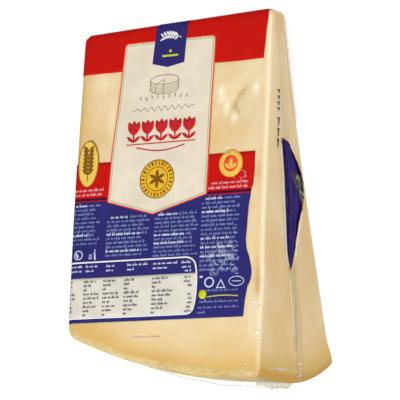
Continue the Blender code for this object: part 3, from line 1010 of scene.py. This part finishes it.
# The flat side and the back, which the photo hides, have columns of the same print and nothing else.
for name, face, unit, column in (
    ("side_first", SIDE, 1.0 / 65.0, (0.95, 0.66, 133.0, 181.0, 24, (0, 5, 11, 16))),
    ("side_second", SIDE, 1.0 / 65.0, (0.61, 0.31, 133.0, 176.0, 21, (0, 7, 13))),
    ("back_first", BACK, 1.0, (95.0, 68.0, 133.0, 180.0, 23, (0, 6, 12, 17))),
    ("back_second", BACK, 1.0, (64.0, 40.0, 133.0, 176.0, 21, (0, 8, 14))),
    ("back_third", BACK, 1.0, (36.0, 12.0, 133.0, 171.5, 19, (0, 5, 9))),
):
    pale, bright = bmesh.new(), bmesh.new()
    add_column(pale, bright, *column, unit)
    lay("pale_words_" + name, pale, PALE_WORDS, TEXT_INK, face, 3.0)
    lay("bright_words_" + name, bright, BRIGHT_WORDS, TEXT_INK, face, 3.0)

FAINT_WHITE = ink("faint_white_ink", (240, 216, 190))
lay("foot_words", drawn((add_words, 65.6, 50.2, 195.9, 1.2, 2.2)), FAINT_WHITE)

# THE PRINT'S FAR END AND THE STAMPED DASHES
# The print's far end comes round from the back and shows beside the lap seam as a dark-blue spindle,
# with a crumpled patch that has let go. Short black dashes are stamped on the film above it.
# Points are the radius and how far below the printed face, in millimetres.
SPINDLE_OUTER = ((101.7, 15.9), (103.4, 23.4), (108.0, 31.7), (113.6, 39.7), (119.3, 45.3), (124.7, 47.4))
SPINDLE_OUTER += ((130.0, 48.5), (134.9, 46.5), (137.8, 44.5), (142.2, 41.4), (146.9, 39.7), (153.8, 35.3))
SPINDLE_OUTER += ((160.5, 32.7), (163.2, 31.0))
SPINDLE_INNER = ((101.7, 15.7), (119.0, 19.8), (139.7, 24.1), (151.5, 26.4), (157.0, 27.8), (163.2, 30.4))


def strip(outer, inner, cells, wander=0.0):
    """A strip between two lines; each vertex keeps its share of the way from the inner to the outer."""
    made = sheet(cells, lambda u, v: Vector((u, outer[0][0] + v * (outer[-1][0] - outer[0][0]), 0.0)))
    layer = made.verts.layers.float.new("share")
    for vertex in made.verts:
        share, down = vertex.co.x, vertex.co.y
        vertex[layer] = share
        ragged = wander * noise.noise(Vector((down * 0.9, 0.0, 4.0))) * (1.0 - share)
        near, far = edge_at(inner, down, False), edge_at(outer, down, False)
        vertex.co.x = near + ragged + share * (far - near)
    return made


LAP_STEP, LAP_STEP_FADE = 0.62, (4.2, 6.2)  # how far the seam lifts what lies over it, and how wide


def lap_height(across, down):
    middle = WEDGE_ANGLE / 2 * down - lap_middle(down * MM) / MM
    return LAP_STEP * (1.0 - smooth_step(*LAP_STEP_FADE, abs(across - middle)))


def over_lap(flat, lift):
    """Lifts a drawing on the mid-height cut, and more where it crosses the lap seam."""
    for vertex in flat.verts:
        vertex.co.z += lift + lap_height(vertex.co.x, vertex.co.y)
    return flat


def spindle_material():
    """Violet-blue ink, darker at both edges, with streaks where the film is stretched."""
    material, tree, shader = blank_material("violet_blue_ink")
    streaks = add_noise(tree, 300.0, 3.0, 0.6)
    share = add_math(tree, "MULTIPLY_ADD", streaks, 0.36, add_attribute(tree, "share"))
    dark, deep, full = linear(26, 12, 46), linear(42, 28, 84), linear(60, 48, 112)
    stops = ((0.16, dark), (0.30, deep), (0.48, full), (0.62, deep), (0.78, full), (1.0, deep), (1.12, dark))
    feed(tree, shader.inputs["Base Color"], add_ramp(tree, share, stops))
    tune(shader, Roughness=0.6, Specular_IOR_Level=0.0)
    return material


spindle = over_lap(strip(SPINDLE_OUTER, SPINDLE_INNER, (14, 46)), 0.05)
lay("blue_spindle", spindle, spindle_material(), 0.0, CUT)

PATCH_OUTER = ((116.9, 32.5), (118.6, 37.0), (120.3, 45.6), (123.3, 47.4), (130.1, 48.6), (136.4, 46.2))
PATCH_INNER = ((116.9, 31.0), (120.6, 34.1), (125.0, 38.5), (128.8, 41.2), (131.5, 43.8), (136.4, 46.0))


def crumpled_material():
    """Crumpled film over dark ink: grey-green, with black painted shade in its creases and pale painted
    glints.
    """
    material, tree, shader = blank_material("crumpled_dark_film")
    creases = add_noise(tree, 330.0, 2.0, 0.6)
    stops = ((0.42, linear(10, 6, 24)), (0.50, linear(40, 42, 44)), (0.57, linear(88, 92, 74)))
    stops += ((0.70, linear(160, 160, 142)),)
    feed(tree, shader.inputs["Base Color"], add_ramp(tree, creases, stops))
    tune(shader, Roughness=0.3, Specular_IOR_Level=0.2)
    return material


patch = strip(PATCH_OUTER, PATCH_INNER, (20, 40), 0.7)
for vertex in patch.verts:
    crumple = noise.noise(Vector((vertex.co.x * 0.7, vertex.co.y * 0.5, 9.0)))
    vertex.co.z = 0.5 * abs(crumple)
lay("crumpled_patch", over_lap(patch, 0.12), crumpled_material(), 0.0, CUT, 1.0)
for name, near, far, count, colour in (
    ("patch_dark_edge", -0.3, 0.5, 6, (22, 14, 34)),
    ("patch_brown_edge", -1.4, -0.4, 3, (150, 96, 78)),
):
    inner, outer = ([(down, across + off) for down, across in PATCH_INNER[:count]] for off in (near, far))
    edge = over_lap(strip(outer, inner, (2, 16), 0.5), 0.20)
    lay(name, edge, ink(name + "_ink", colour, 0.2), 0.0, CUT, 1.0)

dashes = bmesh.new()
for down in (79.6, 82.6, 85.4, 88.2):
    across = 11.0 + 0.04 * (down - 80)
    add_bar(dashes, across, down, 2.3, 0.75, 0.12)
    add_bar(dashes, across + 0.5, down + 0.95, 1.1, 0.6, 0.12)
for down in (92.6, 97.8, 102.8):
    add_bar(dashes, 12.0, down + 0.3, 2.0, 0.8, 0.2)
    add_bar(dashes, 12.3, down + 2.1, 0.85, 3.4, 0.1)
lay("stamped_code", dashes, ink("black_dash_ink", (44, 40, 44), 0.1), TEXT_INK, CUT)

# THE FILM'S CREASES AND ITS SHINE
# Where the film bridges a hollow it stands up in small stiff creases, which catch the light as white
# glints, and the white haze of their film is painted glint as well. Each is a low ridge on the film: its
# face, width in millimetres, and its points.
ABOVE_SEAM, ABOVE_FILM = 0.08, 0.01
END_WIDTH, TAPER_LENGTH = 0.05, 4.0  # a ridge's width at its ends, as a share, and how long it tapers
BLUISH = (214, 220, 252)
PRINT_CREASES = [
    (FRONT, 0.4, ((12.6, 116.5), (12.8, 118.3))),
    (FRONT, 0.4, ((16.9, 122.3), (15.9, 123.2))),
    (FRONT, 0.5, ((11.3, 119.4), (10.9, 121.8))),
    (FRONT, 0.6, ((24.9, 160.6), (24.3, 162.6), (22.6, 163.9))),
    (FRONT, 0.6, ((18.6, 157.0), (17.6, 160.5), (16.0, 161.2))),
    (FRONT, 0.5, ((25.4, 166.4), (24.0, 168.2))),
    (FRONT, 0.5, ((28.9, 178.6), (28.1, 180.6))),
]
# Soft pale patches of film in the dent beside the banner: painted glints.
DENT_PAINTED_GLINTS = (
    (FRONT, 1.3, ((25.5, 79.2), (24.7, 81.2))),
    (FRONT, 1.1, ((25.2, 83.2), (24.5, 85.0))),
    (FRONT, 1.3, ((22.7, 85.8), (21.9, 89.6))),
    (FRONT, 1.3, ((18.3, 92.0), (17.5, 95.2))),
    (FRONT, 0.8, ((26.4, 86.8), (26.0, 89.4))),
    (FRONT, 1.1, ((7.9, 78.0), (7.7, 81.4))),
)
CREASES = [
    (FRONT, 1.2, ((1.6, 182.4), (1.3, 184.8))),
    (FRONT, 1.0, ((4.5, 186.8), (3.9, 187.6))),
    (FRONT, 1.0, ((0.9, 189.6), (0.7, 191.2))),
    (FRONT, 1.6, ((3.6, 194.4), (0.6, 195.8))),
    (FRONT, 1.1, ((0.9, 198.2), (0.7, 200.6))),
    (FRONT, 0.8, ((78.8, 202.0), (78.1, 202.6))),
    (CUT, 0.4, ((11.3, 210.0), (13.4, 209.9), (19.3, 209.6), (25.3, 209.5), (30.1, 209.5), (33.8, 209.6))),
    (CUT, 0.9, ((17.1, 209.7), (21.3, 209.6), (24.5, 209.5), (28.1, 209.5))),
    (CUT, 0.3, ((29.0, 210.5), (35.1, 210.5))),
    (CUT, 1.0, ((43.1, 195.1), (43.7, 197.3))),
    (CUT, 0.9, ((44.0, 205.7), (44.6, 207.8))),
    (CUT, 0.7, ((46.9, 205.0), (47.5, 206.0))),
]
# Soft pale clouds of film over the small print: painted sheen.
PRINT_SHEEN_PATCHES = []
# Clusters of short ones: how many, where on the face, how long and how wide.
GLINTS = random.Random(11)
for creases, face, count, across, down, length, width in (
    (PRINT_CREASES, FRONT, 26, (13.0, 26.0), (152.0, 168.0), 2.6, 0.45),
    (PRINT_CREASES, FRONT, 8, (10.0, 14.0), (118.0, 134.0), 1.8, 0.3),
    (PRINT_CREASES, FRONT, 6, (12.0, 26.0), (131.0, 150.0), 1.6, 0.3),
    (CREASES, FRONT, 12, (4.0, 60.0), (208.5, 212.5), 0.9, 0.5),
    (CREASES, CUT, 14, (42.5, 48.0), (206.0, 212.0), 1.6, 0.7),
    (PRINT_SHEEN_PATCHES, FRONT, 16, (14.0, 27.0), (153.0, 168.0), 4.2, 2.0),
):
    for _glint in range(count):
        spot = Vector((GLINTS.uniform(*across), GLINTS.uniform(*down)))
        way = GLINTS.uniform(0.0, math.pi)
        half = Vector((math.cos(way), math.sin(way))) * length / 2
        creases.append((face, width, (tuple(spot - half), tuple(spot + half))))


def crease(face, width, points, height):
    """A lens-shaped ridge along its points, tapering out at both ends. height is its share of the width."""
    spots = [Vector(point) for point in points]
    length = sum((b - a).length for a, b in zip(spots, spots[1:]))

    def place(u, v):
        reach = u * (len(spots) - 1)
        index = min(int(reach), len(spots) - 2)
        spot = spots[index].lerp(spots[index + 1], reach - index)
        run = (spots[index + 1] - spots[index]).normalized()
        fade = smooth_step(0.0, min(0.45, TAPER_LENGTH / length), min(u, 1.0 - u))
        taper = END_WIDTH + (1.0 - END_WIDTH) * fade
        side = (v - 0.5) * width * taper
        across, down = spot.x - run.y * side, spot.y + run.x * side
        out, way = face_spot(face, across, down)
        lift = height * width * taper * (1.0 - (2.0 * v - 1.0) ** 2)
        lift += lap_height(across, down) + ABOVE_SEAM if face == CUT else 0.0
        return on_film(settle(out), way, (lift + ABOVE_FILM) * MM)

    ridge = sheet((6 * len(spots), 4), place)
    if face == CUT:
        bmesh.ops.reverse_faces(ridge, faces=ridge.faces)
    return ridge


def add_creases(name, ridges, material, height):
    """All these ridges as one piece."""
    joined = bmesh.new()
    for ridge_line in ridges:
        ridge = mesh_of("ridge", crease(*ridge_line, height))
        joined.from_mesh(ridge)
        bpy.data.meshes.remove(ridge)
    add_piece(name, mesh_of(name, joined), material)


# In the dent beside the banner the film and the cheese fold into one thin crease; a brownish line of film
# along it is painted shade.
DENT_SHADE_LINE = ((12.8, 78.6), (15.2, 81.3), (17.1, 84.0), (18.0, 86.3), (17.7, 88.8), (16.3, 90.9), (15.7, 94.3))
# Along the printed face's edge with the mid-height cut the film is drawn into one long soft crease, whose
# pale haze is a painted highlight, and towards the heel a broad pale cloud of film is painted sheen.
EDGE_CREASE = ((0.9, 44.0), (0.9, 80.0), (0.8, 150.0), (0.5, 172.0), (0.2, 188.0), (0.1, 206.0))
EDGE_SHEEN_CLOUD = [(FRONT, 5.4, ((4.6, 180.5), (4.2, 188.0), (3.4, 200.0)))]
# The cut edge of the film is a pale line beside the spindle, and a bright one beyond its outer edge, where
# the white is a painted highlight. Below it the seam has a dark line, which is painted shadow, and a light
# one.
PALE_EDGE = [(across - 1.4, down) for down, across in SPINDLE_INNER]
FILM_EDGE_HIGHLIGHT = ((47.6, 135.8), (44.2, 141.3), (41.9, 145.8), (40.3, 149.4), (37.6, 153.8), (35.2, 159.0))
SEAM_SHADOW_LINE = ((34.4, 159.0), (35.2, 163.5), (36.2, 168.0), (37.4, 176.0), (39.6, 190.0), (41.2, 202.0))
LIGHT_LINE = ((30.6, 164.2), (33.9, 175.0), (37.4, 186.0), (39.8, 196.0))
# Near the tip a warm grey band of film just inside the back edge is painted shade.
BACK_EDGE_SHADE = [(CUT, 4.4, [(WEDGE_ANGLE * down - 5.4, down) for down in (44, 54, 66, 80, 96)])]
# Each ridge's height as a share of its width, its film's haze, colour, roughness, waves, ripple and
# gloss, and the ridges.
for name, height, haze, colour, roughness, waves, ripple, gloss, ridges in (
    ("film_creases", 0.32, 0.45, (255, 253, 244), 0.22, 900.0, 0.0004, 0.40, CREASES),
    ("film_creases_on_print", 0.32, 0.42, BLUISH, 0.25, 900.0, 0.0004, 0.10, PRINT_CREASES),
    ("painted_sheen_on_print", 0.005, 0.13, BLUISH, 0.3, 300.0, 0.0001, 0.0, PRINT_SHEEN_PATCHES),
    ("painted_glints_in_dent", 0.10, 0.42, (255, 244, 230), 0.3, 300.0, 0.0002, 0.02, DENT_PAINTED_GLINTS),
    ("dent_painted_shade_wide", 0.02, 0.16, (196, 156, 104), 0.4, 200.0, 0.0001, 0.0, [(FRONT, 2.6, DENT_SHADE_LINE)]),
    ("dent_painted_shade_line", 0.02, 0.34, (196, 156, 104), 0.4, 200.0, 0.0001, 0.0, [(FRONT, 1.1, DENT_SHADE_LINE)]),
    ("edge_crease_and_highlight", 0.10, 0.09, (255, 250, 232), 0.25, 60.0, 0.0001, 0.015, [(FRONT, 2.2, EDGE_CREASE)]),
    ("painted_sheen_at_edge", 0.005, 0.15, (255, 250, 240), 0.3, 300.0, 0.0001, 0.0, EDGE_SHEEN_CLOUD),
    ("pale_film_edge", 0.12, 0.66, (238, 226, 214), 0.2, 600.0, 0.0002, 0.02, [(CUT, 2.0, PALE_EDGE)]),
    ("film_edge_painted_highlight", 0.20, 0.75, (255, 250, 240), 0.2, 600.0, 0.0002, 0.06, [(CUT, 1.3, FILM_EDGE_HIGHLIGHT)]),
    ("seam_painted_shadow_line", 0.02, 0.40, (176, 168, 122), 0.3, 600.0, 0.0001, 0.0, [(CUT, 3.0, SEAM_SHADOW_LINE)]),
    ("light_seam_line", 0.04, 0.26, (250, 236, 216), 0.3, 600.0, 0.0001, 0.01, [(CUT, 2.8, LIGHT_LINE)]),
    ("painted_shade_at_back_edge", 0.02, 0.30, (184, 166, 138), 0.3, 300.0, 0.0002, 0.0, BACK_EDGE_SHADE),
):
    film = film_material(name + "_film", haze, colour, roughness, waves, ripple, gloss)
    add_creases(name, ridges, film, height)

# Near the tip the film also stands off the back edge in a narrow loose fold.
FOLD_START, FOLD_LENGTH, FOLD_REACH, FOLD_ROUGH = 0.001, 0.052, 0.0020, 0.0003
FOLD_DEPTH, FOLD_ABOVE_TABLE = 0.0006, 0.0018


def fold_place(along, out):
    radius = TIP_RADIUS + FOLD_START + along * FOLD_LENGTH
    taper = math.sin(math.pi * min(1.0, 0.08 + 0.92 * along)) ** 0.5
    rough = FOLD_ROUGH * noise.noise(Vector((along * 14.0, 0.0, 1.0)))
    place = settle(wheel_point(FOLD_DEPTH, radius, FOLD_ABOVE_TABLE / radius))
    place.x += out * (FOLD_REACH + rough) * taper
    return place


fold_film = film_material("loose_fold_film", 0.14, (226, 230, 240), 0.2, 500.0, 0.0004, 0.03)
fold_mesh = mesh_of("back_edge_fold", sheet((60, 4), fold_place))
thicken(add_piece("back_edge_fold", fold_mesh, fold_film), LAYER_THICKNESS, 0.0)

# THE FLOOR, THE LIGHT AND THE CAMERA
# A white table, one large soft light overhead and one beside the wedge, and a long lens.
FLOOR_SIZE = 3.0
TABLE_GREY, TABLE_GLOW = (0.13, 0.13, 0.13, 1.0), 0.96  # a grey that glows looks white, with a faint shadow
floor_grid = bmesh.new()
bmesh.ops.create_grid(floor_grid, x_segments=1, y_segments=1, size=FLOOR_SIZE)
floor = bpy.data.objects.new("white_table", mesh_of("white_table", floor_grid, False))
bpy.context.scene.collection.objects.link(floor)
floor_material, _tree, floor_shader = blank_material("white_table")
tune(floor_shader, Base_Color=TABLE_GREY, Roughness=0.9, Specular_IOR_Level=0.1)
tune(floor_shader, Emission_Color=WHITE_STOP, Emission_Strength=TABLE_GLOW)
floor.data.materials.append(floor_material)
floor.visible_glossy = False  # the film mirrors the dimmer room, so the ink under it isn't grainy

world = bpy.data.worlds.new("soft_room")
world.use_nodes = True
room = world.node_tree
tune(room.nodes["Background"], Color=WHITE_STOP)
ROOM_LIGHT = 0.35  # the room looks white, but lights the wedge this much
straight = room.nodes.new("ShaderNodeLightPath").outputs["Is Camera Ray"]
strength = add_math(room, "MULTIPLY_ADD", straight, 1.0 - ROOM_LIGHT, ROOM_LIGHT)
feed(room, room.nodes["Background"].inputs["Strength"], strength)
bpy.context.scene.world = world
bpy.context.scene.view_settings.view_transform = "Standard"


def add_light(name, location, size, power):
    """A rectangular soft light that looks at the wedge."""
    lamp = bpy.data.lights.new(name, "AREA")
    lamp.shape = "RECTANGLE"
    lamp.size, lamp.size_y = size
    lamp.energy = power
    light = bpy.data.objects.new(name, lamp)
    light.location = location
    light.rotation_euler = (-Vector(location)).to_track_quat("-Z", "Y").to_euler()
    bpy.context.scene.collection.objects.link(light)


add_light("overhead_light", (-0.15, -0.45, 1.5), (1.2, 1.2), 24.0)
add_light("side_strip_light", (1.0, 0.42, 0.40), (1.4, 0.08), 4.2)

AIM = Vector((0.01682, 0.00756, 0.05591))
AZIMUTH, ELEVATION, ROLL = math.radians(110.107), math.radians(64.125), math.radians(-116.11)
DISTANCE = 0.923
lens = bpy.data.cameras.new("camera")
lens.lens = 180.0
lens.sensor_width = 36.0
lens.clip_start = 0.05
camera = bpy.data.objects.new("camera", lens)
back = Vector((math.sin(AZIMUTH), -math.cos(AZIMUTH), 0.0)) * math.cos(ELEVATION)
back.z = math.sin(ELEVATION)
camera.location = AIM + back * DISTANCE
level = (-back).to_track_quat("-Z", "Y")
camera.rotation_euler = (level @ Quaternion((0.0, 0.0, 1.0), ROLL)).to_euler()
bpy.context.scene.collection.objects.link(camera)
bpy.context.scene.camera = camera
